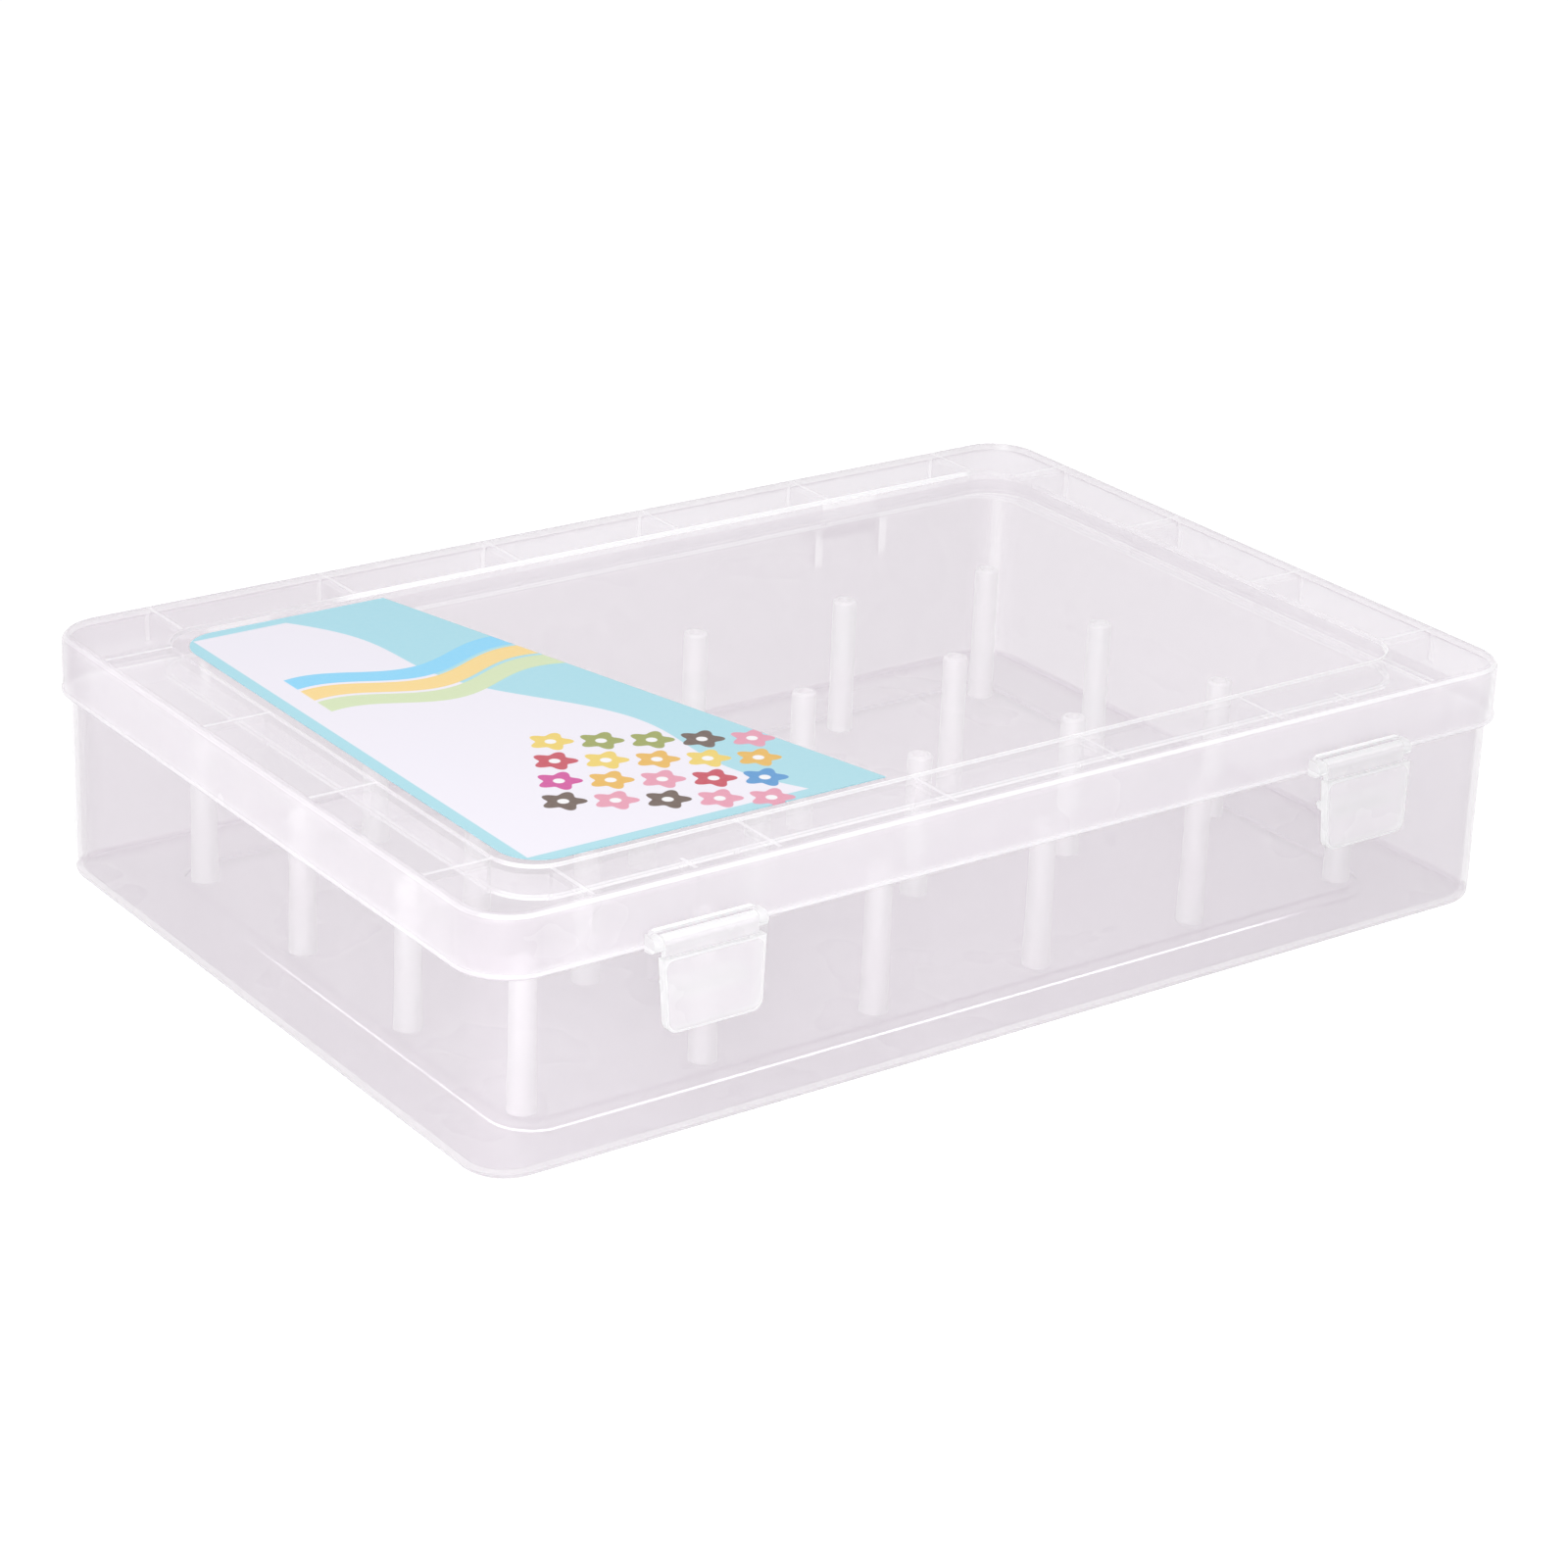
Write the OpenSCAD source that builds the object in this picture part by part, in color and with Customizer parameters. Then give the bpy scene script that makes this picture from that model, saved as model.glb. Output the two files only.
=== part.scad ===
// Embroidery thread box: a clear moulded tray with spool pegs, a hinged lid and two snap latches.
// Millimetres, +Z up, the front with the latches at -Y, the origin on the table under the middle.

/* [Layout] */
// Columns of spool pegs, along the box
columns = 6; // [4:1:7]
// Rows of spool pegs, across the box
rows = 4; // [3:1:5]
// Distance between neighbouring pegs
peg_pitch = 42.5; // [36:0.5:50]
// From the outer pegs' axes to the outside of the tray's end walls
end_margin = 22.6; // [20:0.2:30]
// From the outer pegs' axes to the outside of the tray's long walls
side_margin = 24; // [20:0.2:30]

/* [Tray] */
// Height of the tray's rim above the table
rim_height = 47.2; // [44:0.2:60]
// Thickness of the tray's walls
wall = 1.5; // [1.2:0.1:2.2]
// Thickness of the tray's floor
floor_t = 1.6; // [1.2:0.1:2.4]
// Radius of the tray's upright corners, outside
corner_r = 10; // [7:0.5:16]
// Rounding under the tray's walls
edge_r = 2.5; // [2:0.1:3.5]
// Depth of the foot that nests in the lid of the box below
foot_drop = 0.8; // [0.5:0.1:1.2]

/* [Lid] */
// Height of the closed box
box_height = 56.5; // [55.5:0.1:72]
// Length of the skirt that hangs past the rim
skirt_overlap = 3.9; // [3:0.1:4.8]
// Thickness of the skirt
skirt_t = 1.2; // [1:0.1:1.6]
// Gap between the tray's wall and the skirt
skirt_gap = 0.35; // [0.25:0.05:0.6]
// Thickness of the lid's plate
plate_t = 1.5; // [1.2:0.1:2]
// Rounding of the lid's upper edge
lid_edge_r = 2; // [1.6:0.1:2.8]
// How far the bead on the skirt's edge stands out
bead_proud = 0.3; // [0.2:0.05:0.5]
// Gap between the lid and the rim that it rests on
seat_gap = 0.3; // [0.2:0.05:0.5]

/* [Lid panel and ribs] */
// From the lid's sides to the sunken panel
panel_inset = 17.4; // [14:0.2:20]
// Radius of the panel's corners
panel_r = 10; // [6:0.5:14]
// Depth of the sunken panel
panel_drop = 0.9; // [0.6:0.1:1.3]
// Thickness of the ribs under the lid
rib_t = 1.2; // [0.9:0.1:1.8]
// Radius where a rib meets the skirt
rib_fillet = 2.1; // [1.4:0.1:3.2]
// Extra thickness of the ring rib's root
ring_root_t = 0.4; // [0.2:0.1:0.8]
// Height of the thinner part of the ring rib, below its root
ring_lip = 2.4; // [1.4:0.2:3]
// Reach of the short gusset above each latch
latch_gusset = 6; // [3:0.2:6.4]
// Play of a nested foot in the panel, on each side
stack_gap = 0.4; // [0.3:0.05:0.8]

/* [Spool pegs] */
// Height of a peg above the floor
peg_height = 32.5; // [29:0.5:36]
// Diameter of the peg's upper part, which a spool turns on
peg_d = 5.5; // [5.2:0.1:5.8]
// Diameter of the peg at the floor
peg_foot_d = 6; // [5.8:0.1:7.4]
// Height of the peg's tapering foot
peg_foot_height = 14; // [10:0.5:16]
// Diameter of the hollow in the peg's top
peg_bore_d = 3.4; // [2.6:0.1:3.8]
// Depth of the hollow in the peg's top
peg_bore_depth = 17; // [10:0.5:19]
// Diameter of the floor stud that holds a peg
stud_d = 4; // [3.4:0.1:4.6]
// Height of the floor stud
stud_height = 8; // [5:0.5:9]
// Clearance round the stud, on the radius
stud_gap = 0.05; // [0.02:0.01:0.1]

/* [Latches] */
// From the tray's end walls to a latch's middle
latch_inset = 45.8; // [36:0.2:60]
// Width of the flap at its top
flap_top_w = 23.4; // [20:0.2:28]
// Width of the flap at its bottom edge
flap_bottom_w = 21.6; // [16:0.2:23]
// Height of the flap
flap_height = 15.3; // [13:0.1:18]
// Angle at which the flap leans out at its bottom
flap_lean = 2.3; // [0:0.1:4]
// Radius of the flap's lower corners
flap_corner_r = 2.4; // [2:0.1:3.4]
// Thickness of the flap's plate and rim
flap_t = 1.3; // [1:0.1:1.6]
// Depth of the flap's rim, front to back
flap_rim = 1.9; // [1.6:0.1:2.6]
// Diameter of the rod that the latch turns on
rod_d = 1.9; // [1.6:0.1:2.8]
// Thickness of the latch's barrel round the rod
barrel_t = 0.8; // [0.7:0.05:1.2]
// Thickness of the two ears that carry the rod
ear_t = 2; // [1.6:0.1:3.4]
// How far the catch stands out of the tray's wall
catch_proud = 1.7; // [1.4:0.1:2]
// Height of the catch
catch_h = 6.3; // [5.6:0.1:7]
// Width of the catch
catch_w = 22; // [18:0.5:24]
// Width of the hook behind the flap
hook_w = 17; // [12:0.5:18]

/* [Back hinges] */
// From the tray's end walls to a hinge's middle
hinge_inset = 45.8; // [36:0.2:60]
// Length of the lid's snap knuckle
knuckle_w = 16; // [12:0.5:22]
// Diameter of the pins on the tray
pin_d = 3; // [2.4:0.1:3.4]
// Thickness of the knuckle round the pin
knuckle_t = 1.26; // [1.1:0.02:1.5]
// Thickness of the lugs that carry a pin
lug_t = 2.4; // [1.8:0.1:3.4]

/* [Label] */
// Thickness of the label
label_t = 0.2; // [0.15:0.05:0.3]
// Margin between the label and the panel's sides
label_margin = 3.2; // [2.5:0.1:6]
// Length of the label's front edge
label_front_w = 85; // [70:1:110]
// Length of the label's back edge
label_back_w = 51; // [40:1:68]
// Radius of the label's two outer corners
label_corner_r = 9; // [6:0.5:12]

/* [Hidden] */
$fn = 64;
// A running fit, on the radius
run_gap = 0.05;
// Play beside a turning piece
side_gap = 0.3;
// Play between the catch and the skirt above it, the hook below it, and the wall behind the hook
skirt_play = 0.5;
hook_play = 0.35;
wall_play = 0.4;
// Overlap that makes two shapes one solid
weld = 0.5;

tray_length = (columns - 1) * peg_pitch + 2 * end_margin;
tray_depth = (rows - 1) * peg_pitch + 2 * side_margin;
lid_grow = skirt_gap + skirt_t;
lid_length = tray_length + 2 * lid_grow;
lid_depth = tray_depth + 2 * lid_grow;
lid_r = corner_r + lid_grow;
skirt_bottom = rim_height - skirt_overlap;
bead_r = (skirt_t + bead_proud) / 2;

panel_length = lid_length - 2 * panel_inset;
panel_depth = lid_depth - 2 * panel_inset;
panel_top = box_height - panel_drop;
gusset_bottom = rim_height + seat_gap;
rib_bottom = gusset_bottom + rib_fillet;
foot_length = panel_length - 2 * stack_gap;
foot_depth = panel_depth - 2 * stack_gap;
foot_r = panel_r - stack_gap;

// The strips of floor and plate that are drawn with the walls
strip = edge_r + 2;

latch_x = tray_length / 2 - latch_inset;
barrel_r = rod_d / 2 + run_gap + barrel_t;
latch_y = lid_depth / 2 + side_gap + barrel_r;
latch_z = skirt_bottom + barrel_r;
barrel_w = flap_top_w - 2;
ear_wall = 0.7;
ear_r = rod_d / 2 + ear_wall;
boss_w = barrel_w + 2 * (side_gap + ear_t);
boss_r = 2.4;
ridge_t = 0.6;
ridge_bottom = latch_z + barrel_r;
boss_top = ridge_bottom + ridge_t;
boss_proud = 1.2;
flap_proud = 1.1;
flap_front = latch_y + barrel_r + flap_proud;
flap_back = flap_front - flap_t;
flap_top = latch_z - ear_r - 2 * side_gap;
// The mouth through which a snap knuckle is pushed on, as an angle
mouth = 80;

catch_top = skirt_bottom - skirt_play;
catch_bottom = catch_top - catch_h;
catch_ramp = 3;
hook_top = catch_bottom - hook_play;
hook_t = 1.6;
hook_nose = 0.3;
hook_tip = tray_depth / 2 + wall_play;
hook_root = flap_back + (flap_top - hook_top) * tan(flap_lean) + weld;

hinge_x = tray_length / 2 - hinge_inset;
knuckle_r = pin_d / 2 + run_gap + knuckle_t;
hinge_y = lid_depth / 2 + knuckle_r;
hinge_z = skirt_bottom - knuckle_r - 2 * side_gap;
lug_step = 0.2;
lug_r = knuckle_r - lug_step;
lug_brace = 5;
lug_x = knuckle_w / 2 + side_gap;
tab_t = 2;
tab_reach = 5;
tab_top = skirt_bottom + tab_reach;

peg_count = columns * rows;
peg_tip_r = 0.7;
peg_wall_below = 0.4;
clear_plastic = [0.90, 0.88, 0.92, 0.5];
milky_plastic = [0.95, 0.94, 0.96, 0.8];
label_colour = [0.55, 0.80, 0.90];

function peg_name(k) = str("spool_peg_", k < 9 ? "0" : "", k + 1);
function peg_x(k) = (k % columns - (columns - 1) / 2) * peg_pitch;
function peg_y(k) = (floor(k / columns) - (rows - 1) / 2) * peg_pitch;

// Rectangle with four round corners, about its middle
module rounded_rect(length, depth, r) {
    square([length - 2 * r, depth], center = true);
    square([length, depth - 2 * r], center = true);
    for (sx = [-1, 1], sy = [-1, 1])
        translate([sx * (length / 2 - r), sy * (depth / 2 - r)]) circle(r);
}

// A plate with that outline, between two heights
module plate(length, depth, r, from, to) {
    translate([0, 0, from]) linear_extrude(to - from) rounded_rect(length, depth, r);
}

// Rectangle whose lower right corner is round
module toe(w, h, r) {
    translate([0, r]) square([w, h - r]);
    square([w - r, h]);
    translate([w - r, r]) circle(r);
}

// Carries a profile round a rounded rectangle: x runs outwards from the corners' centres, y is up
module round_the_box(length, depth, r) {
    for (turn = [0:3])
        translate([(turn % 3 == 0 ? 1 : -1) * (length / 2 - r), (turn < 2 ? 1 : -1) * (depth / 2 - r), 0])
            rotate([0, 0, 90 * turn]) rotate_extrude(angle = 90) children();
    for (half = [0, 180]) rotate([0, 0, half]) {
        translate([length / 2 - r, depth / 2 - r, 0])
            rotate([90, 0, 0]) linear_extrude(depth - 2 * r) children();
        translate([r - length / 2, depth / 2 - r, 0])
            rotate([90, 0, 90]) linear_extrude(length - 2 * r) children();
    }
}

// Extrudes a side view, x to the front and y up, across a width that is centred on x = 0
module across(w) {
    translate([-w / 2, 0, 0]) rotate([90, 0, -90]) mirror([0, 0, 1]) linear_extrude(w) children();
}

// Side view of the tray's wall with the strip of floor beside it
module wall_profile() {
    difference() {
        translate([corner_r - strip, foot_drop]) toe(strip, rim_height - foot_drop, edge_r);
        translate([corner_r - strip - 1, foot_drop + floor_t])
            toe(strip + 1 - wall, rim_height, edge_r - wall);
    }
}

// Wedge under the latch's hook, side view: x is the distance out from the tray's middle
module catch_profile() {
    y0 = tray_depth / 2;
    polygon([[y0 - weld, catch_top], [y0, catch_top], [y0 + catch_proud, catch_top - catch_ramp],
             [y0 + catch_proud, catch_bottom], [y0 - weld, catch_bottom]]);
}

// One lug of a back hinge, side view: x is the distance out from the tray's middle
module lug_profile() {
    y0 = tray_depth / 2 - weld;
    translate([hinge_y, hinge_z]) circle(lug_r);
    translate([y0, hinge_z]) square([hinge_y - y0, lug_r]);
    polygon([[y0, hinge_z + weld], [hinge_y, hinge_z + weld], [hinge_y, hinge_z - lug_r],
             [y0, hinge_z - lug_r - lug_brace]]);
}

module tray() {
    color(clear_plastic) {
        round_the_box(tray_length, tray_depth, corner_r) wall_profile();
        difference() {
            union() {
                plate(tray_length - 2 * strip + 1, tray_depth - 2 * strip + 1, corner_r - strip + weld,
                      foot_drop, foot_drop + floor_t);
                plate(foot_length, foot_depth, foot_r, 0, foot_drop + floor_t / 2);
            }
            plate(foot_length - 2 * wall, foot_depth - 2 * wall, foot_r - wall,
                  floor_t, floor_t + foot_drop + 1);
        }
        for (k = [0:peg_count - 1])
            translate([peg_x(k), peg_y(k), floor_t - weld]) cylinder(d = stud_d, h = stud_height + weld);
        for (side = [-1, 1]) {
            translate([side * latch_x, 0, 0]) across(catch_w) catch_profile();
            translate([side * hinge_x, 0, 0]) rotate([0, 0, 180]) {
                for (end = [-1, 1])
                    translate([end * (lug_x + lug_t / 2), 0, 0]) across(lug_t) lug_profile();
                across(2 * lug_x + lug_t) translate([hinge_y, hinge_z]) circle(d = pin_d);
            }
        }
    }
}

// Side view of the lid's skirt, its round upper edge and its bead
module skirt_profile() {
    difference() {
        translate([lid_r - strip, box_height]) mirror([0, 1])
            toe(strip, box_height - skirt_bottom - bead_r, lid_edge_r);
        translate([lid_r - strip - 1, box_height - plate_t]) mirror([0, 1])
            toe(strip + 1 - skirt_t, box_height, lid_edge_r - skirt_t);
    }
    translate([lid_r + bead_proud - bead_r, skirt_bottom + bead_r]) circle(bead_r);
}

// Side view of one rib, from the ring at x = 0 outwards, with the curve that runs down the skirt
module rib_profile(reach) {
    top = box_height - plate_t + weld;
    translate([-weld, rib_bottom]) square([reach + 2 * weld, top - rib_bottom]);
    difference() {
        translate([reach - rib_fillet, gusset_bottom]) square([rib_fillet + weld, top - gusset_bottom]);
        translate([reach - rib_fillet, gusset_bottom]) circle(rib_fillet);
    }
}

// Side view of the short gusset between the plate and the skirt, above a latch
module gusset_profile() {
    inside = lid_depth / 2 - skirt_t;
    under = box_height - plate_t;
    polygon([[inside - latch_gusset, under + weld], [inside - latch_gusset, under],
             [inside, under - latch_gusset], [inside + weld, under - latch_gusset],
             [inside + weld, under + weld]]);
}

// A front view with two round upper corners, standing on y = 0
module arch(w, h, r) {
    translate([-w / 2, 0]) square([w, h - r]);
    translate([r - w / 2, 0]) square([w - 2 * r, h]);
    for (side = [-1, 1]) translate([side * (w / 2 - r), h - r]) circle(r);
}

// Frame and ears on the skirt that carry a latch's rod
module latch_boss() {
    face = lid_depth / 2 - weld;
    window_w = barrel_w + 2 * side_gap;
    translate([0, -face, skirt_bottom]) rotate([90, 0, 0])
        linear_extrude(boss_proud + weld) difference() {
            arch(boss_w, boss_top - skirt_bottom, boss_r);
            translate([-window_w / 2, -1]) square([window_w, ridge_bottom - skirt_bottom + 1]);
        }
    for (end = [-1, 1])
        translate([end * (boss_w - ear_t) / 2, 0, 0]) across(ear_t) {
            translate([latch_y, latch_z]) circle(ear_r);
            translate([face, latch_z - ear_r]) square([latch_y - face, 2 * ear_r]);
        }
    across(boss_w - ear_t) translate([latch_y, latch_z]) circle(d = rod_d);
}

// A snap knuckle with its mouth at an angle from the front, side view round its own axis
module snap_ring(outer_r, bore_r, mouth_at) {
    far = 2 * outer_r;
    difference() {
        circle(outer_r);
        circle(bore_r);
        rotate(mouth_at)
            polygon([[0, 0], [far * cos(mouth / 2), far * sin(mouth / 2)],
                     [far * cos(mouth / 2), -far * sin(mouth / 2)]]);
    }
}

module lid() {
    color(clear_plastic) {
        round_the_box(lid_length, lid_depth, lid_r) skirt_profile();
        difference() {
            plate(lid_length - 2 * strip + 1, lid_depth - 2 * strip + 1, lid_r - strip + weld,
                  box_height - plate_t, box_height);
            plate(panel_length, panel_depth, panel_r, box_height - plate_t - 1, box_height + 1);
        }
        plate(panel_length + rib_t, panel_depth + rib_t, panel_r + rib_t / 2,
              panel_top - plate_t, panel_top);
        difference() {
            plate(panel_length + 2 * rib_t, panel_depth + 2 * rib_t, panel_r + rib_t,
                  rib_bottom, box_height - plate_t + weld);
            plate(panel_length, panel_depth, panel_r, rib_bottom - 1, rib_bottom + ring_lip);
            plate(panel_length - 2 * ring_root_t, panel_depth - 2 * ring_root_t, panel_r - ring_root_t,
                  rib_bottom, box_height);
        }
        reach = panel_inset - rib_t - skirt_t;
        for (k = [0:columns - 1], back = [0, 1])
            rotate([0, 0, 180 * back]) translate([peg_x(k), 0, 0]) across(rib_t)
                translate([panel_depth / 2 + rib_t, 0]) rib_profile(reach);
        for (k = [0:rows - 1], side = [-1, 1])
            rotate([0, 0, 90 * side]) translate([peg_y(k * columns), 0, 0]) across(rib_t)
                translate([panel_length / 2 + rib_t, 0]) rib_profile(reach);
        for (side = [-1, 1]) {
            translate([side * latch_x, 0, 0]) {
                latch_boss();
                across(rib_t) gusset_profile();
            }
            translate([side * hinge_x, 0, 0]) rotate([0, 0, 180]) across(knuckle_w) difference() {
                union() {
                    translate([hinge_y, hinge_z]) snap_ring(knuckle_r, pin_d / 2 + run_gap, -90);
                    translate([lid_depth / 2 - weld, hinge_z]) square([tab_t + weld, tab_top - hinge_z]);
                }
                translate([hinge_y, hinge_z]) circle(pin_d / 2 + run_gap);
            }
        }
    }
}

// Outline of the flap, hanging from y = 0, with two round lower corners
module flap_outline(top_w, bottom_w, h, r) {
    lean = atan((top_w - bottom_w) / 2 / h);
    tangent = r * tan(45 - lean / 2);
    side_x = bottom_w / 2 + tangent * sin(lean);
    side_y = tangent * cos(lean) - h;
    polygon([[-top_w / 2, 0], [top_w / 2, 0], [side_x, side_y], [bottom_w / 2 - tangent, -h],
             [tangent - bottom_w / 2, -h], [-side_x, side_y]]);
    for (side = [-1, 1]) translate([side * (bottom_w / 2 - tangent), r - h]) circle(r);
}

module latch(side) {
    color(milky_plastic) translate([side * latch_x, 0, 0]) {
        translate([0, -flap_front, flap_top]) rotate([-90 - flap_lean, 0, 0]) mirror([0, 1]) {
            linear_extrude(flap_t) flap_outline(flap_top_w, flap_bottom_w, flap_height, flap_corner_r);
            linear_extrude(flap_rim) difference() {
                flap_outline(flap_top_w, flap_bottom_w, flap_height, flap_corner_r);
                translate([0, -flap_t])
                    flap_outline(flap_top_w - 2 * flap_t, flap_bottom_w - 2 * flap_t,
                                 flap_height - 2 * flap_t, flap_corner_r - flap_t);
            }
        }
        across(barrel_w) difference() {
            union() {
                translate([latch_y, latch_z]) snap_ring(barrel_r, rod_d / 2 + run_gap, 135);
                translate([latch_y + barrel_r - flap_t, flap_top - flap_t])
                    square([flap_t, latch_z - flap_top + flap_t]);
            }
            translate([latch_y, latch_z]) circle(rod_d / 2 + run_gap);
        }
        across(hook_w)
            polygon([[hook_root, hook_top - hook_t - 1], [hook_tip + 2 * hook_nose, hook_top - hook_t],
                     [hook_tip, hook_top - hook_t / 2], [hook_tip + hook_nose, hook_top],
                     [hook_root, hook_top]]);
    }
}

module latch_left() {
    latch(-1);
}

module latch_right() {
    latch(1);
}

// The label covers the panel's left part, and its right edge slants
module label_sheet() {
    x0 = label_margin - panel_length / 2;
    y0 = panel_depth / 2 - label_margin;
    r = label_corner_r;
    color(label_colour) translate([0, 0, panel_top]) linear_extrude(label_t) {
        polygon([[x0 + r, -y0], [x0 + label_front_w, -y0], [x0 + label_back_w, y0], [x0 + r, y0],
                 [x0 + r, y0 - r], [x0, y0 - r], [x0, r - y0], [x0 + r, r - y0]]);
        for (end = [-1, 1]) translate([x0 + r, end * (y0 - r)]) circle(r);
    }
}

// Peg k stands over its floor stud: a tapering foot, a straight upper part, and a hollow in its round tip
module spool_peg(k) {
    color(milky_plastic) translate([peg_x(k), peg_y(k), floor_t]) rotate_extrude() difference() {
        union() {
            polygon([[0, 0], [peg_foot_d / 2, 0], [peg_d / 2, peg_foot_height], [0, peg_foot_height]]);
            square([peg_d / 2, peg_height - peg_tip_r]);
            square([peg_d / 2 - peg_tip_r, peg_height]);
            translate([peg_d / 2 - peg_tip_r, peg_height - peg_tip_r]) circle(peg_tip_r);
        }
        translate([-1, -1]) square([1 + stud_d / 2 + stud_gap, 1 + stud_height + peg_wall_below]);
        translate([-1, peg_height - peg_bore_depth]) square([1 + peg_bore_d / 2, peg_bore_depth + 1]);
    }
}

tray();
lid();
latch_left();
latch_right();
label_sheet();
for (k = [0:peg_count - 1])
    spool_peg(k);
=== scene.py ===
"""Embroidery thread box: finishes, printed label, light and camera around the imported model."""
import math

import bpy
from mathutils import Matrix, Vector


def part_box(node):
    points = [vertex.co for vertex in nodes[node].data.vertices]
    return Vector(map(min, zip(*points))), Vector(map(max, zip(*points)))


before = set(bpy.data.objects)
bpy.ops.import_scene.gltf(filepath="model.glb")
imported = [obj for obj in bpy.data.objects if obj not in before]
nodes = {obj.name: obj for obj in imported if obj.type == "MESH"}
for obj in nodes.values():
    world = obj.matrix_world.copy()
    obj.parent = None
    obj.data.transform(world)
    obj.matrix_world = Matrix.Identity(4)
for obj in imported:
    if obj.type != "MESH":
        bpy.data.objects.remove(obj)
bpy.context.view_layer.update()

MM = 0.001

# The photograph's frame and the camera that fits it
FRAME_PX = 1600
FOCAL_PX = 4295.5
SENSOR_MM = 36.0
CAMERA_AZIMUTH = math.radians(-36.436)
CAMERA_ELEVATION = math.radians(22.769)
CAMERA_ROLL = math.radians(2.2)
CAMERA_DISTANCE = 0.91983
CAMERA_SIDEWAYS = 0.00075
CAMERA_UPWARDS = 0.02073
AIM_HEIGHT = 1.5 * MM

# Outlines of the lid, its panel, the tray's foot and a latch flap: half length, half depth and corner radius
LID_OUTLINE = (130.4 * MM, 89.3 * MM, 11.55 * MM)
PANEL_OUTLINE = (113.0 * MM, 71.9 * MM, 10.0 * MM)
FOOT_OUTLINE = (112.6 * MM, 71.5 * MM, 9.6 * MM)
FLAP_OUTLINE = (11.25 * MM, 7.65 * MM, 2.4 * MM)

# Places that the finishes follow, each from the middle of the box or from the table
PEG_PITCH = 42.5 * MM
FLOOR_TOP = 2.5 * MM
TRAY_BACK = 88.0 * MM
LATCH_X = 83.05 * MM
LATCH_FRAME_Y = 89.5 * MM
FLAP_MIDDLE = 35.2 * MM
FLAP_TOP = 7.65 * MM
FLAP_TAPER = 0.45 / 7.65
SKIRT_FOOT = 43.3 * MM
BEAD_HEIGHT = 44.2 * MM
RING_BOTTOM = 50.25 * MM
PLATE_UNDERSIDE = 54.75 * MM
TOP_EDGE_HEIGHT = 55.95 * MM

# Light: place in metres, power in watts and side of each lamp, then the strength of the surround and the floor
KEY_LAMP = ((-0.48, -0.42, 0.5), 2.9, 0.45)
BACK_LAMP = ((0.25, 0.5, 0.6), 0.35, 0.5)
SURROUND = 0.65
FLOOR_PAINT = (0.86, 0.86, 0.86, 1.0)
FLOOR_GLOW = 0.45
FLOOR_HALF = 4.0
FLOOR_DROP = 0.3 * MM
WHITE = (1.0, 1.0, 1.0, 1.0)
CLEAR_LAYERS = 48

# Colours as linear red, green and blue
HAZE = (0.765, 0.70, 0.765, 1.0)
HAZE_PALE = (0.80, 0.735, 0.80, 1.0)
HAZE_FLOOR = (0.75, 0.685, 0.75, 1.0)
HAZE_PANEL = (0.86, 0.775, 0.855, 1.0)
# Whiter haze of the lid's skirt and underside: partly milkier plastic, partly painted light
HAZE_MILKY_AND_LIT = (0.93, 0.875, 0.935, 1.0)
HAZE_BRIGHT = (0.86, 0.805, 0.865, 1.0)
# White of the painted highlights and painted glows on edges, also the pegs' paler tone and the flowers' eyes
HIGHLIGHT_AND_PIGMENT_WHITE = (0.93, 0.92, 0.94, 1.0)
MILKY = (0.96, 0.915, 0.965, 1.0)
MILKY_PALE = (0.975, 0.935, 0.98, 1.0)
PEG_WHITE = (0.97, 0.92, 0.965, 1.0)
PAPER = (0.88, 0.845, 0.93, 1.0)
TEAL = (0.37, 0.71, 0.82, 1.0)
TEAL_PALE = (0.39, 0.70, 0.79, 1.0)
RIBBONS = ((0.66, 0.77, 0.47, 1.0), (0.95, 0.68, 0.24, 1.0), (0.22, 0.66, 0.95, 1.0))
THREADS = ((0.55, 0.02, 0.06, 1.0), (0.80, 0.45, 0.05, 1.0), (0.62, 0.03, 0.30, 1.0), (0.10, 0.05, 0.03, 1.0),
           (0.85, 0.62, 0.10, 1.0), (0.05, 0.28, 0.62, 1.0), (0.78, 0.30, 0.42, 1.0), (0.30, 0.34, 0.05, 1.0))

FLOWER_PITCH = 10.2
FLOWER_TURN = math.radians(28)


def fresh_tree(owner):
    """The emptied node tree of a material or a world."""
    owner.use_nodes = True
    owner.node_tree.nodes.clear()
    return owner.node_tree


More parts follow.
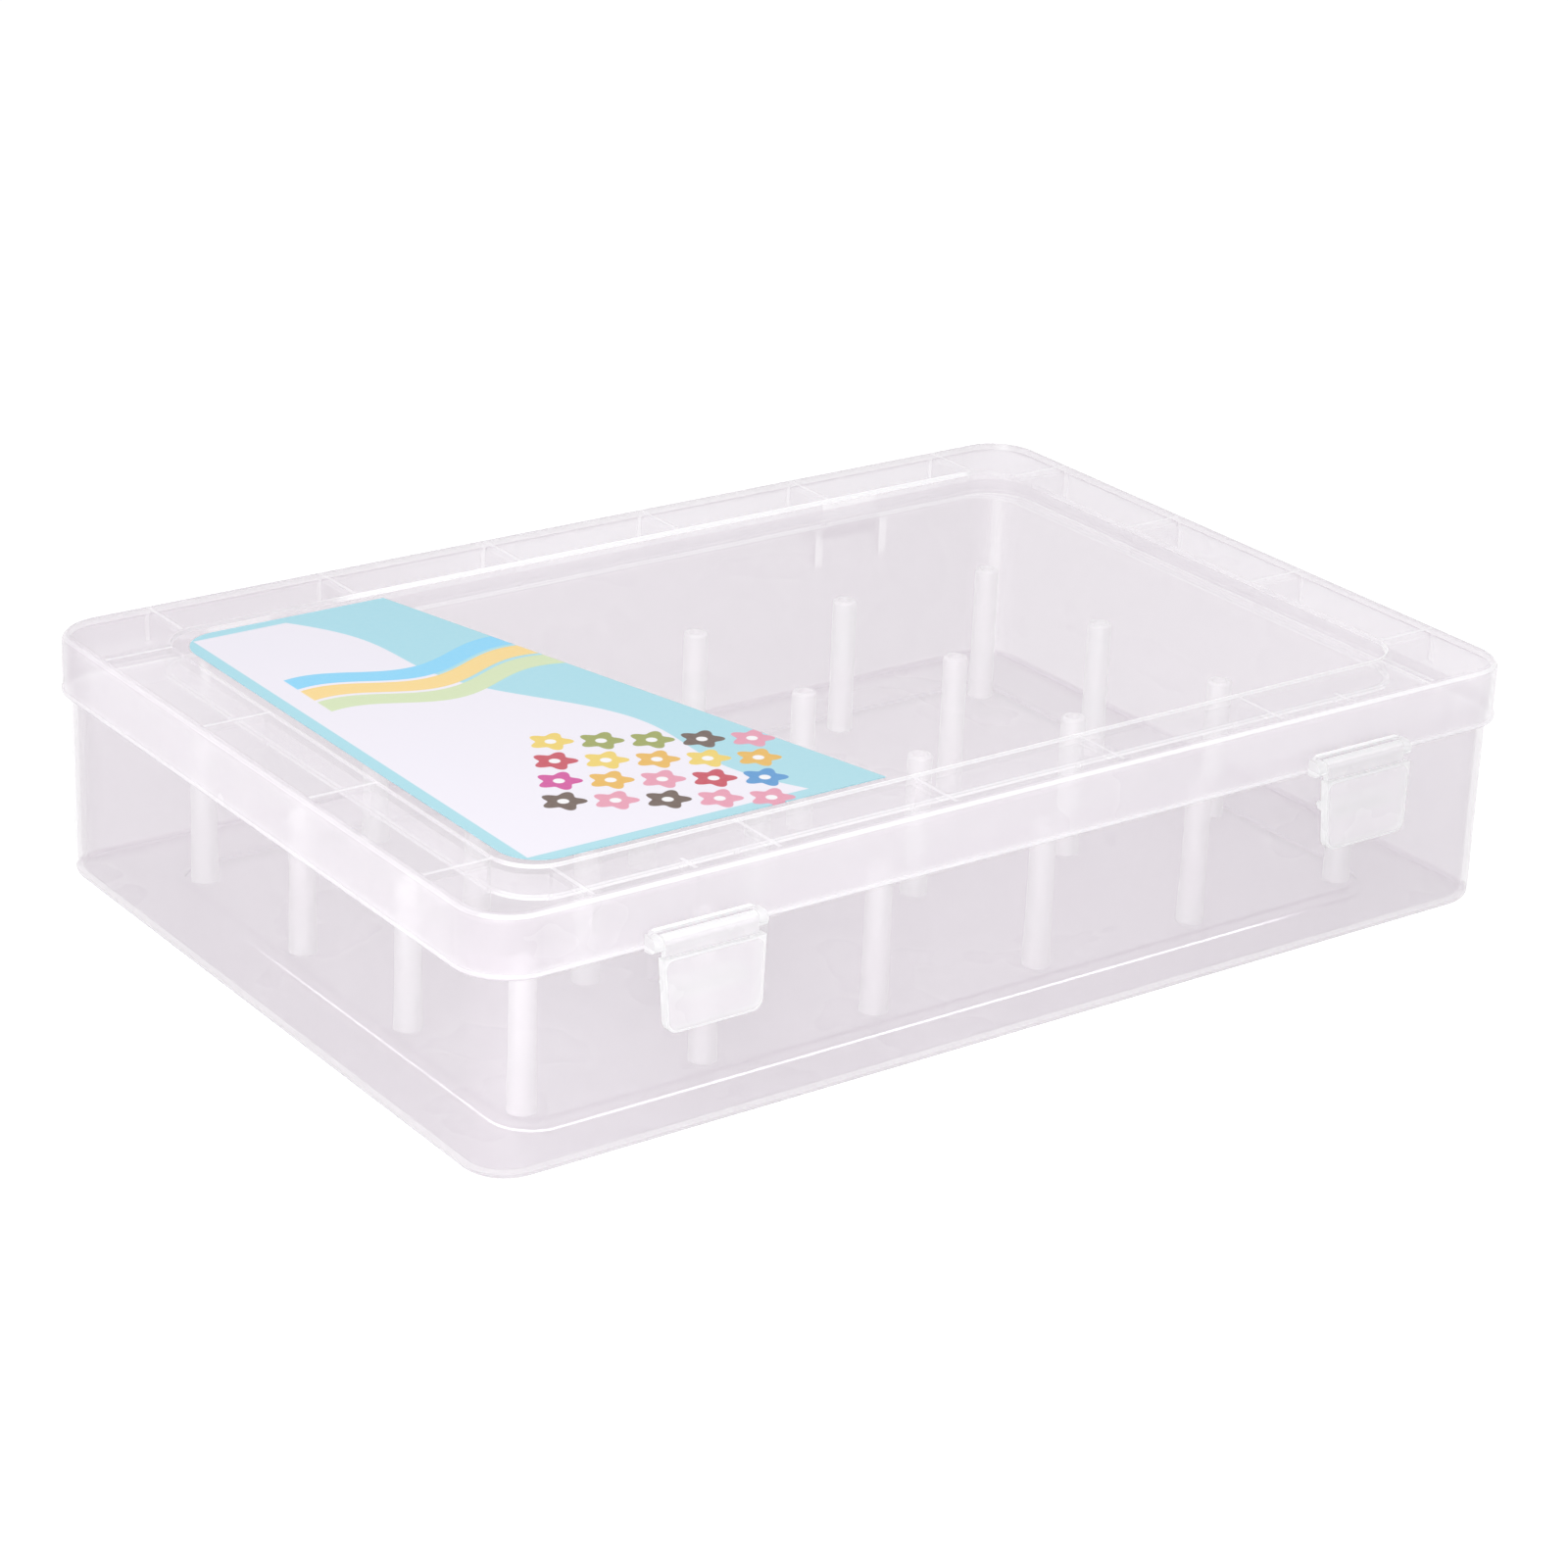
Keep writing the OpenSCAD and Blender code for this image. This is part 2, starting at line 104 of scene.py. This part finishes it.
class Shader:
    """A node material in the making: each method adds a node and gives back its output."""

    def __init__(self, name):
        self.material = bpy.data.materials.new(name)
        self.tree = fresh_tree(self.material)
        self.coordinates = self.node("TexCoord", output="Object")
        self.x, self.y, self.z = self.split(self.coordinates)

    def node(self, kind, inputs=None, output=0, **settings):
        """Adds a node, sets or links its inputs, and gives back one of its outputs."""
        node = self.tree.nodes.new("ShaderNode" + kind)
        for name, value in settings.items():
            setattr(node, name, value)
        for key, value in (inputs or {}).items():
            if isinstance(value, bpy.types.NodeSocket):
                self.tree.links.new(value, node.inputs[key])
            else:
                node.inputs[key].default_value = value
        return node.outputs[output]

    def split(self, vector):
        """The x, y and z of a vector."""
        return self.node("SeparateXYZ", {0: vector}).node.outputs

    def math(self, operation, first, second=0.0, third=0.0):
        """One step of arithmetic."""
        return self.node("Math", {0: first, 1: second, 2: third}, operation=operation)

    def fade(self, value, start, end, low=0.0, high=1.0):
        """low where value is at start or before it, high from end on, with a smooth step between."""
        inputs = {"Value": value, "From Min": start, "From Max": end, "To Min": low, "To Max": high}
        return self.node("MapRange", inputs, interpolation_type="SMOOTHSTEP")

    def spread(self, noise, low=0.0, high=1.0):
        """Takes the usual range of a noise from low to high."""
        return self.fade(noise, 0.2, 0.8, low, high)

    def band(self, value, centre, half_width, soft):
        """1 within half_width of centre, falling to 0 over soft."""
        away = self.math("ABSOLUTE", self.math("SUBTRACT", value, centre))
        return self.fade(away, half_width + soft, half_width)

    def blend(self, factor, first, second):
        """The colour between first and second."""
        inputs = {0: factor, 6: first, 7: second}
        return self.node("Mix", inputs, output=2, data_type="RGBA")

    def noise(self, scale, detail):
        """Soft noise, scale being its cells to the metre."""
        return self.node("TexNoise", {"Vector": self.coordinates, "Scale": scale, "Detail": detail})

    def outline(self, half_x, half_y, radius, x=None, y=None):
        """Distance outside a rounded rectangle round x = y = 0, negative inside it."""
        over_x = self.math("SUBTRACT", self.math("ABSOLUTE", x or self.x), half_x - radius)
        over_y = self.math("SUBTRACT", self.math("ABSOLUTE", y or self.y), half_y - radius)
        far_x = self.math("MAXIMUM", over_x, 0.0)
        far_y = self.math("MAXIMUM", over_y, 0.0)
        corner = self.math("SQRT", self.math("ADD", self.math("MULTIPLY", far_x, far_x),
                                             self.math("MULTIPLY", far_y, far_y)))
        inside = self.math("MINIMUM", self.math("MAXIMUM", over_x, over_y), 0.0)
        return self.math("SUBTRACT", self.math("ADD", corner, inside), radius)

    def near_multiple(self, value, pitch, offset, half_width, soft):
        """1 near every offset + n * pitch."""
        turns = self.math("DIVIDE", self.math("SUBTRACT", value, offset), pitch)
        apart = self.math("ABSOLUTE", self.math("SUBTRACT", turns, self.math("ROUND", turns)))
        return self.fade(self.math("MULTIPLY", apart, pitch), half_width + soft, half_width)

    def times(self, mask, share):
        """The mask or value made share times as strong."""
        return self.math("MULTIPLY", mask, share)

    def both(self, first, second):
        """High only where both masks are high."""
        return self.math("MULTIPLY", first, second)

    def most(self, *masks):
        """The highest of the masks."""
        highest = masks[0]
        for mask in masks[1:]:
            highest = self.math("MAXIMUM", highest, mask)
        return highest

    def total(self, *parts):
        """The sum of the parts."""
        value = parts[0]
        for part in parts[1:]:
            value = self.math("ADD", value, part)
        return value

    def finish(self, light_share=None, **inputs):
        """Closes the material. With light_share, each face lets that share of all light that isn't on its way
        to the camera straight through, as plastic does that scatters light forwards."""
        named = {key.replace("_", " "): value for key, value in inputs.items()}
        surface = self.node("BsdfPrincipled", named)
        if light_share is not None:
            passed = self.node("BsdfTransparent", {"Color": (light_share,) * 3 + (1.0,)})
            seen = self.node("LightPath", output="Is Camera Ray")
            surface = self.node("MixShader", {0: seen, 1: passed, 2: surface})
        out = self.tree.nodes.new("ShaderNodeOutputMaterial")
        self.tree.links.new(surface, out.inputs["Surface"])
        return self.material


def moulded(shader, strength):
    """The faint orange peel of a moulded surface, as a normal."""
    peel = shader.noise(420.0, 2.0)
    return shader.node("Bump", {"Height": peel, "Strength": strength, "Distance": 0.2 * MM})


def tray_plastic():
    """Half clear and denser in the floor. The back and right walls are made denser as painted shade, and a
    painted highlight with a painted glow runs round the front and left of the foot.
    Where a mask picks single sides, it follows the photograph."""
    s = Shader("tray_plastic")
    mottle = s.noise(28.0, 3.0)
    foot = s.outline(*FOOT_OUTLINE)
    from_middle = s.math("ABSOLUTE", s.x)

    floor = s.fade(s.z, FLOOR_TOP + 0.1 * MM, FLOOR_TOP - 0.1 * MM)
    seat = s.both(floor, s.fade(foot, -0.5 * MM, 0.5 * MM))
    # Painted highlight along the foot's lower edge, white and denser; on the front and left sides it also
    # carries a painted glow.
    foot_edge = s.both(s.band(foot, -0.2 * MM, 0.4 * MM, 0.3 * MM), s.fade(s.z, 0.7 * MM, 0.4 * MM))
    foot_front = s.both(s.fade(s.y, -58 * MM, -64 * MM), s.fade(s.x, 98 * MM, 70 * MM))
    foot_left = s.both(s.fade(s.x, -98 * MM, -104 * MM), s.fade(s.y, 60 * MM, 0.0))
    foot_glow = s.both(foot_edge, s.most(foot_front, s.times(foot_left, 0.6)))
    # Painted shade: the back and right walls, below the skirt, are made denser so that they read darker.
    shaded_back_and_right = s.most(s.fade(s.y, 84 * MM, 86 * MM), s.fade(s.x, 125 * MM, 127 * MM, 0.0, 0.8))
    shaded_back_and_right = s.both(shaded_back_and_right, s.fade(s.z, SKIRT_FOOT + 0.3 * MM, SKIRT_FOOT - 0.3 * MM))
    front_ends = s.both(s.fade(s.y, -84 * MM, -86 * MM), s.fade(from_middle, 70 * MM, 110 * MM))
    lugs = s.fade(s.y, TRAY_BACK - 0.1 * MM, TRAY_BACK + 0.2 * MM)

    colour = s.blend(s.spread(mottle), HAZE, HAZE_PALE)
    colour = s.blend(floor, colour, HAZE_FLOOR)
    colour = s.blend(s.times(front_ends, 0.6), colour, HAZE_BRIGHT)
    colour = s.blend(foot_edge, colour, HIGHLIGHT_AND_PIGMENT_WHITE)
    alpha = s.total(s.spread(mottle, 0.21, 0.24), s.times(floor, 0.29), s.times(seat, 0.04),
                    s.times(shaded_back_and_right, 0.25), s.times(front_ends, 0.04), s.times(foot_edge, 0.5))
    alpha = s.both(alpha, s.fade(lugs, 0.0, 1.0, 1.0, 0.22))
    return s.finish(0.965, Base_Color=colour, Roughness=s.spread(mottle, 0.24, 0.34), Alpha=alpha,
                    Normal=moulded(s, 0.15), Specular_IOR_Level=0.35,
                    Emission_Color=HIGHLIGHT_AND_PIGMENT_WHITE, Emission_Strength=s.times(foot_glow, 4.0))


def lid_highlights(s):
    """Mask of the lid's painted highlights: bead, top edge, panel step, ring rib, ribs, gussets and frame
    ridges, stronger on the sides that face the light.
    """
    side = s.outline(*LID_OUTLINE)
    panel = s.outline(*PANEL_OUTLINE)
    from_middle_x = s.math("ABSOLUTE", s.x)
    from_middle_y = s.math("ABSOLUTE", s.y)
    front_line = s.fade(s.y, -60 * MM, -68 * MM)
    skirt = s.fade(side, -2.2 * MM, -1.2 * MM)
    top = s.fade(s.z, PLATE_UNDERSIDE - 0.15 * MM, PLATE_UNDERSIDE + 0.15 * MM)
    plate = s.both(top, s.fade(side, -1.6 * MM, -2.2 * MM))

    bead = s.both(s.band(s.z, BEAD_HEIGHT, 0.25 * MM, 0.25 * MM), skirt)
    # The top edge's painted highlight is full on the front, weaker on the left and weakest on the back and
    # right, where less light falls.
    lit_front_and_left = s.most(s.fade(s.y, -80 * MM, -86 * MM), s.fade(s.x, -120 * MM, -126 * MM, 0.0, 0.4), 0.25)
    top_edge = s.both(s.both(s.band(s.z, TOP_EDGE_HEIGHT, 0.2 * MM, 0.2 * MM), skirt), lit_front_and_left)
    back_turns = s.both(s.most(s.fade(s.x, 102 * MM, 108 * MM), s.fade(s.x, -60 * MM, -75 * MM)),
                      s.fade(s.y, 40 * MM, 60 * MM))
    step = s.both(s.band(panel, 0.0, 0.25 * MM, 0.2 * MM), top)
    # The panel step's painted highlight is strongest at the back, where its face turns to the light.
    step = s.both(step, s.most(s.fade(s.y, 60 * MM, 68 * MM, 0.0, 1.6), front_line, 0.5))
    step = s.both(step, s.fade(back_turns, 0.0, 1.0, 1.0, 0.25))
    ring = s.both(s.band(panel, 0.6 * MM, 0.8 * MM, 0.1 * MM),
                  s.fade(s.z, RING_BOTTOM + 0.15 * MM, RING_BOTTOM - 0.15 * MM))
    ring_wall = s.both(lid_underside(s), s.band(panel, 0.6 * MM, 0.9 * MM, 0.1 * MM))
    columns = s.both(s.near_multiple(s.x, PEG_PITCH, PEG_PITCH / 2, 0.4 * MM, 0.3 * MM),
                     s.fade(from_middle_y, 71.7 * MM, 72.1 * MM))
    rows = s.both(s.near_multiple(s.y, PEG_PITCH, PEG_PITCH / 2, 0.4 * MM, 0.3 * MM),
                  s.fade(from_middle_x, 112.8 * MM, 113.2 * MM))
    gusset = s.both(s.band(from_middle_x, LATCH_X, 0.4 * MM, 0.3 * MM), s.fade(s.y, -81.8 * MM, -82.2 * MM))
    ribs = s.both(s.most(columns, rows, gusset), plate)
    ridge = s.both(latch_frames(s), s.fade(s.z, 47.2 * MM, 47.5 * MM))
    return s.most(s.times(bead, 0.45), top_edge, step, s.times(ring, 0.6), s.times(ring_wall, 0.2),
                  s.times(s.both(ring, front_line), 1.4), s.times(ribs, 0.6), ridge)


def lid_underside(s):
    """Mask of all that lies below the lid's top plate, inside its skirt."""
    return s.both(s.fade(s.z, PLATE_UNDERSIDE + 0.25 * MM, PLATE_UNDERSIDE + 0.05 * MM),
                  s.fade(s.outline(*LID_OUTLINE), -1.2 * MM, -2.2 * MM))


def latch_frames(s):
    """Mask of the frames that stand out of the skirt and carry the latches' rods."""
    return s.fade(s.y, -LATCH_FRAME_Y + 0.1 * MM, -LATCH_FRAME_Y - 0.2 * MM)


def lid_plastic():
    """Half clear. The skirt, its ends and the underside are whiter, partly milkier plastic and partly painted
    light; the front left corner, the back left and the outer back and right edges are darkened as painted
    shade; painted highlights and a faint painted glow run along the edges.
    Where a mask picks single sides or corners, it follows the photograph."""
    s = Shader("lid_plastic")
    mottle = s.noise(28.0, 3.0)
    highlight = lid_highlights(s)
    frame_mask = latch_frames(s)
    under = lid_underside(s)

    skirt = s.fade(s.outline(*LID_OUTLINE), -2.2 * MM, -1.2 * MM)
    ends = s.fade(s.math("ABSOLUTE", s.x), 108 * MM, 113 * MM)
    # Masks of painted shade: the front left corner, the back left of the top and the outer back and right
    # edges.
    shaded_front_left = s.both(s.fade(s.x, -112 * MM, -124 * MM), s.fade(s.y, -72 * MM, -84 * MM))
    shaded_back_left = s.both(s.fade(s.x, 0.0, -90 * MM), s.fade(s.y, 66 * MM, 78 * MM))
    shaded_outer_edge = s.both(s.fade(s.z, 53.5 * MM, 54.5 * MM),
                      s.most(s.fade(s.y, 86 * MM, 87.5 * MM), s.fade(s.x, 127 * MM, 128.5 * MM)))
    knuckles = s.fade(s.y, 89.5 * MM, 89.8 * MM)

    colour = s.blend(s.spread(mottle), HAZE_PALE, HAZE_BRIGHT)
    colour = s.blend(s.fade(s.outline(*PANEL_OUTLINE), 0.2 * MM, -0.2 * MM), colour, HAZE_PANEL)
    # The skirt, its ends and the underside are whiter: partly milkier plastic, partly painted light that lifts
    # their shade.
    colour = s.blend(s.most(s.times(ends, 0.45), skirt, under), colour, HAZE_MILKY_AND_LIT)
    # Painted shade: these places are darkened to the tray's haze and made denser.
    colour = s.blend(s.most(shaded_outer_edge, shaded_back_left, s.times(shaded_front_left, 0.6)), colour, HAZE)
    # Painted highlights in white, with a faint painted glow below; the latch frames take the same white.
    colour = s.blend(s.most(highlight, frame_mask), colour, HIGHLIGHT_AND_PIGMENT_WHITE)
    alpha = s.both(s.spread(mottle, 0.18, 0.21), s.fade(under, 0.0, 1.0, 1.0, 0.45))
    alpha = s.total(alpha, s.times(skirt, 0.18), s.times(ends, 0.04), s.times(shaded_outer_edge, 0.15),
                    s.times(shaded_back_left, 0.07), s.times(highlight, 0.5), s.times(frame_mask, 0.2))
    alpha = s.both(alpha, s.fade(knuckles, 0.0, 1.0, 1.0, 0.1))
    return s.finish(0.98, Base_Color=colour, Roughness=s.spread(mottle, 0.2, 0.3), Alpha=alpha,
                    Normal=moulded(s, 0.15), Emission_Color=HIGHLIGHT_AND_PIGMENT_WHITE, Emission_Strength=s.times(highlight, 0.12))


def peg_plastic():
    """Whitish and denser than the tray, with a soft sheen and a faint painted glow."""
    s = Shader("peg_plastic")
    mottle = s.noise(60.0, 3.0)
    colour = s.blend(s.spread(mottle), PEG_WHITE, HIGHLIGHT_AND_PIGMENT_WHITE)
    # The faint emission is a painted glow that lightens the pegs.
    return s.finish(0.97, Base_Color=colour, Roughness=s.spread(mottle, 0.25, 0.35), Alpha=0.6,
                    Normal=moulded(s, 0.12), Sheen_Weight=0.5, Sheen_Roughness=0.5,
                    Emission_Color=PEG_WHITE, Emission_Strength=0.06)


def latch_plastic():
    """Milky and half clear, with painted highlights round the flap and on its upper ledge."""
    s = Shader("latch_plastic")
    mottle = s.noise(60.0, 3.0)
    facing = s.node("SeparateXYZ", {0: s.node("TexCoord", output="Normal")}, output="Y")
    wall = s.fade(s.math("ABSOLUTE", facing), 0.9, 0.6)
    height = s.math("SUBTRACT", s.z, FLAP_MIDDLE)
    taper = s.times(height, FLAP_TAPER)
    from_middle = s.math("SUBTRACT", s.math("ABSOLUTE", s.x), LATCH_X)
    across = s.math("SUBTRACT", s.math("ABSOLUTE", from_middle), taper)
    flap = s.outline(*FLAP_OUTLINE, x=across, y=height)
    rim = s.both(s.fade(flap, -0.6 * MM, -0.3 * MM), s.fade(height, FLAP_TOP + 0.05 * MM, FLAP_TOP - 0.05 * MM))
    # Painted highlights on the side walls, the ledge and round the flap: white and denser.
    highlight = s.most(wall, rim)
    colour = s.blend(s.spread(mottle), MILKY, MILKY_PALE)
    colour = s.blend(highlight, colour, HIGHLIGHT_AND_PIGMENT_WHITE)
    alpha = s.fade(highlight, 0.0, 1.0, 0.42, 0.9)
    return s.finish(0.92, Base_Color=colour, Roughness=s.spread(mottle, 0.22, 0.32), Alpha=alpha,
                    Normal=moulded(s, 0.12))


def label_film():
    """A printed film: teal border and side, pale field, three wavy ribbons and a patch of small flowers.
    Its pattern is laid out in millimetres from the label's front left corner."""
    s = Shader("label_film")
    low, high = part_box("label_sheet")
    size = high - low
    across = s.math("DIVIDE", s.math("SUBTRACT", s.x, low.x), MM)
    along = s.math("DIVIDE", s.math("SUBTRACT", s.y, low.y), MM)
    width, length = size.x / MM, size.y / MM

    back_edge = [v.co.x for v in nodes["label_sheet"].data.vertices if v.co.y > high.y - 0.1 * MM]
    slant = (high.x - max(back_edge)) / size.y
    from_right = s.math("SUBTRACT", s.math("MULTIPLY_ADD", along, -slant, width), across)
    wave = s.times(s.math("SINE", s.times(along, 2 * math.pi / 70)), 4.0)
    sweep = s.times(s.math("POWER", s.math("DIVIDE", along, length), 2.0), 14.0)
    teal_width = s.total(wave, sweep, 15.0)
    from_sides = s.math("MINIMUM", across, s.math("MINIMUM", along, s.math("SUBTRACT", length, along)))
    field = s.both(s.fade(s.math("SUBTRACT", from_right, teal_width), -0.2, 0.2), s.fade(from_sides, 2.7, 3.1))
    paint = s.blend(s.fade(along, 0.0, 0.8 * length), TEAL_PALE, TEAL)
    paint = s.blend(field, paint, PAPER)

    crest = s.times(s.math("SINE", s.times(across, 2 * math.pi / 46)), 3.5)
    height = s.math("SUBTRACT", along, crest)
    for number, colour in enumerate(RIBBONS):
        stripe = s.both(s.band(height, 0.62 * length + 7.0 * number, 2.8, 0.3), s.fade(across, 8.0, 8.4))
        paint = s.blend(stripe, paint, colour)
    paint = flowers(s, paint, across, along)
    rough = s.fade(s.noise(900.0, 2.0), 0.3, 0.7, 0.28, 0.38)
    return s.finish(0.75, Base_Color=paint, Roughness=rough, Normal=moulded(s, 0.05))


def flowers(s, paint, across, along):
    """Rows of small five-petalled flowers, each in one thread colour, on a turned square grid."""
    turned = s.node("VectorRotate", {"Vector": s.node("CombineXYZ", {0: across, 1: along}),
                                     "Angle": FLOWER_TURN}, rotation_type="Z_AXIS")
    place = s.node("VectorMath", {0: turned, 1: (1 / FLOWER_PITCH,) * 3}, operation="MULTIPLY")
    cells = s.node("TexVoronoi", {"Vector": place, "Scale": 1.0, "Randomness": 0.0},
                   voronoi_dimensions="2D").node.outputs
    column, row, _ = s.split(cells["Position"])
    dx, dy, _ = s.split(s.node("VectorMath", {0: place, 1: cells["Position"]}, operation="SUBTRACT"))
    turn = s.times(s.math("ARCTAN2", dy, dx), 5.0)
    petal = s.math("MULTIPLY_ADD", s.math("COSINE", turn), 0.08, 0.39)
    patch = s.both(s.band(column, 2.7, 2.5, 0.01), s.band(row, 4.9, 2.0, 0.01))
    flower = s.both(s.fade(s.math("SUBTRACT", petal, cells["Distance"]), -0.01, 0.02), patch)
    eye = s.both(s.fade(cells["Distance"], 0.13, 0.10), patch)
    paint = s.blend(flower, paint, thread_colour(s, s.node("SeparateColor", {0: cells["Color"]})))
    return s.blend(eye, paint, HIGHLIGHT_AND_PIGMENT_WHITE)


def thread_colour(s, pick):
    """One of the thread colours for each value of pick between 0 and 1."""
    ramp = s.node("ValToRGB", {0: pick}).node
    ramp.color_ramp.interpolation = "CONSTANT"
    stops = ramp.color_ramp.elements
    while len(stops) < len(THREADS):
        stops.new(0.5)
    for number, colour in enumerate(THREADS):
        stops[number].position = number / len(THREADS)
        stops[number].color = colour
    return ramp.outputs[0]


def dress():
    """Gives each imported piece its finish."""
    peg = peg_plastic()
    latch = latch_plastic()
    finishes = {"tray": tray_plastic(), "lid": lid_plastic(), "label_sheet": label_film(),
                "latch_left": latch, "latch_right": latch}
    for name, piece in nodes.items():
        piece.data.materials.clear()
        piece.data.materials.append(finishes.get(name, peg))


def seen_directly(tree):
    """1 for a ray of the camera, a reflection or a view through glass, 0 for a ray that lights a surface."""
    path = tree.nodes.new("ShaderNodeLightPath")
    total = path.outputs["Is Camera Ray"]
    for name in ("Is Glossy Ray", "Is Transmission Ray"):
        both = tree.nodes.new("ShaderNodeMath")
        both.operation = "MAXIMUM"
        tree.links.new(total, both.inputs[0])
        tree.links.new(path.outputs[name], both.inputs[1])
        total = both.outputs[0]
    return total


def light_world():
    """A white background for the camera over a weaker even light."""
    world = bpy.data.worlds.new("studio")
    bpy.context.scene.world = world
    tree = fresh_tree(world)
    ambient = tree.nodes.new("ShaderNodeBackground")
    ambient.inputs["Color"].default_value = WHITE
    ambient.inputs["Strength"].default_value = SURROUND
    white = tree.nodes.new("ShaderNodeBackground")
    white.inputs["Color"].default_value = WHITE
    mix = tree.nodes.new("ShaderNodeMixShader")
    tree.links.new(seen_directly(tree), mix.inputs[0])
    tree.links.new(ambient.outputs[0], mix.inputs[1])
    tree.links.new(white.outputs[0], mix.inputs[2])
    out = tree.nodes.new("ShaderNodeOutputWorld")
    tree.links.new(mix.outputs[0], out.inputs[0])


def add_lamp(name, place, power, size):
    """A soft square lamp that faces the box."""
    data = bpy.data.lights.new(name, "AREA")
    data.energy = power
    data.size = size
    lamp = bpy.data.objects.new(name, data)
    lamp.location = place
    lamp.rotation_euler = (-Vector(place)).to_track_quat("-Z", "Y").to_euler()
    bpy.context.scene.collection.objects.link(lamp)


def add_floor():
    """A pale floor that reads white and still takes the box's shadow."""
    corners = [(x * FLOOR_HALF, y * FLOOR_HALF, 0) for x, y in ((-1, -1), (1, -1), (1, 1), (-1, 1))]
    mesh = bpy.data.meshes.new("floor")
    mesh.from_pydata(corners, [], [(0, 1, 2, 3)])
    floor = bpy.data.objects.new("floor", mesh)
    floor.location.z = -FLOOR_DROP
    bpy.context.scene.collection.objects.link(floor)
    material = bpy.data.materials.new("floor")
    tree = fresh_tree(material)
    paint = tree.nodes.new("ShaderNodeBsdfDiffuse")
    paint.inputs["Color"].default_value = FLOOR_PAINT
    glow = tree.nodes.new("ShaderNodeEmission")
    gain = tree.nodes.new("ShaderNodeMath")
    gain.operation = "MULTIPLY"
    gain.inputs[1].default_value = FLOOR_GLOW
    tree.links.new(seen_directly(tree), gain.inputs[0])
    tree.links.new(gain.outputs[0], glow.inputs["Strength"])
    both = tree.nodes.new("ShaderNodeAddShader")
    tree.links.new(paint.outputs[0], both.inputs[0])
    tree.links.new(glow.outputs[0], both.inputs[1])
    out = tree.nodes.new("ShaderNodeOutputMaterial")
    tree.links.new(both.outputs[0], out.inputs["Surface"])
    mesh.materials.append(material)


def add_camera():
    """The camera of the photograph, from its direction, roll and distance."""
    back = Vector((math.sin(CAMERA_AZIMUTH) * math.cos(CAMERA_ELEVATION),
                   -math.cos(CAMERA_AZIMUTH) * math.cos(CAMERA_ELEVATION),
                   math.sin(CAMERA_ELEVATION)))
    level_right = Vector((0, 0, 1)).cross(back).normalized()
    level_up = back.cross(level_right)
    place = back * CAMERA_DISTANCE + level_right * CAMERA_SIDEWAYS + level_up * CAMERA_UPWARDS
    place.z += AIM_HEIGHT
    right = level_right * math.cos(CAMERA_ROLL) + level_up * math.sin(CAMERA_ROLL)
    up = back.cross(right)
    data = bpy.data.cameras.new("photo_camera")
    data.sensor_width = SENSOR_MM
    data.lens = FOCAL_PX / FRAME_PX * SENSOR_MM
    data.clip_start = 0.01
    camera = bpy.data.objects.new("photo_camera", data)
    turn = Matrix((right, up, back)).transposed().to_4x4()
    camera.matrix_world = Matrix.Translation(place) @ turn
    bpy.context.scene.collection.objects.link(camera)
    bpy.context.scene.camera = camera


add_camera()
light_world()
add_lamp("key_lamp", *KEY_LAMP)
add_lamp("back_lamp", *BACK_LAMP)
add_floor()
dress()
bpy.context.scene.view_settings.view_transform = "Standard"
bpy.context.scene.cycles.transparent_max_bounces = CLEAR_LAYERS
